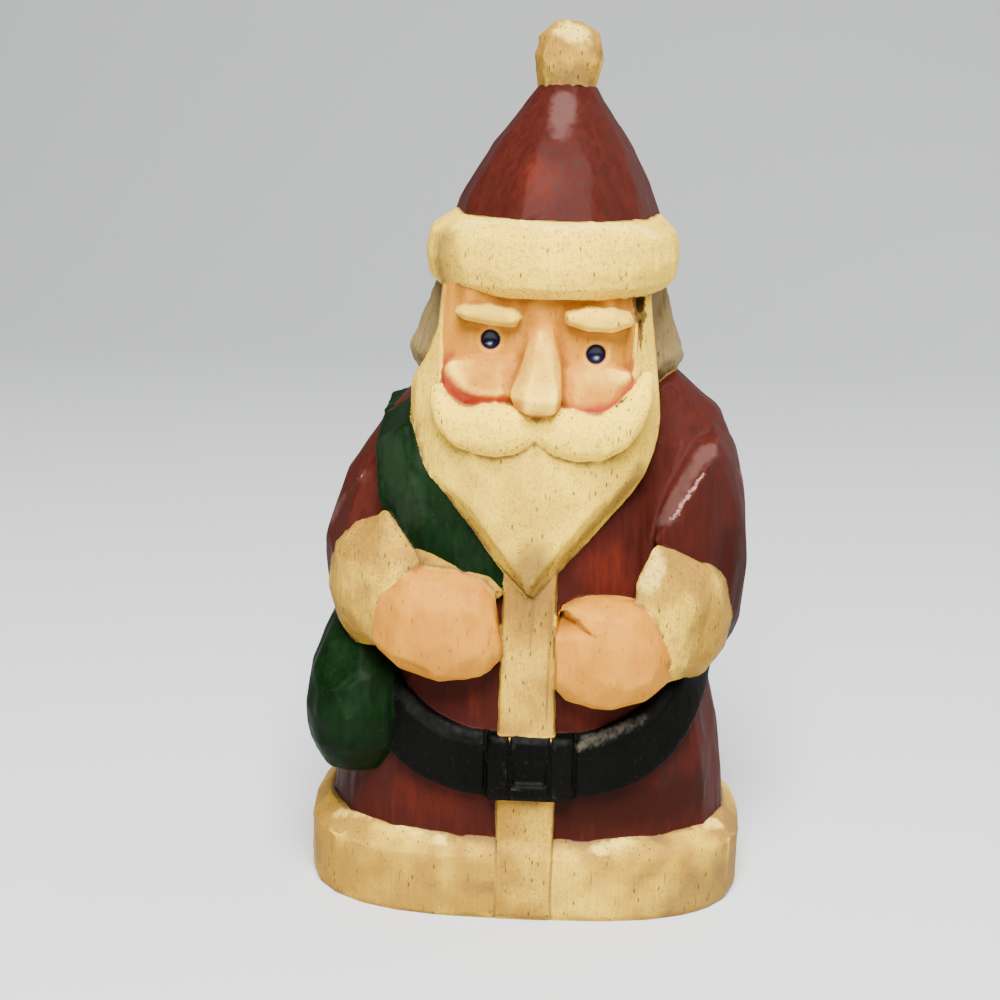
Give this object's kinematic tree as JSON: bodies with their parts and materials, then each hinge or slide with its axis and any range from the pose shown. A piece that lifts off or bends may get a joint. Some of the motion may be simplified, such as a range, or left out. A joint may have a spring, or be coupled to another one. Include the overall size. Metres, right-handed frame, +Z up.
{
  "type": "carved santa figure",
  "caption": "Folk-style standing santa whittled from one wood block, with pointed hat, long beard, mittens, belted coat and a sack over one shoulder.",
  "frame": {"origin": "middle of the flat underside of the base hem, at its face", "axes": "+Z up along the figure, -Y the way the figure faces, +X to the right of a viewer in front of it"},
  "size_m": [0.0776, 0.0593, 0.15],
  "materials": {
    "painted_wood": "hand-painted, satin, rubbed with a brown antique glaze"
  },
  "bodies": {
    "root": {"carved_figure": "painted_wood"}
  },
  "joints": []
}
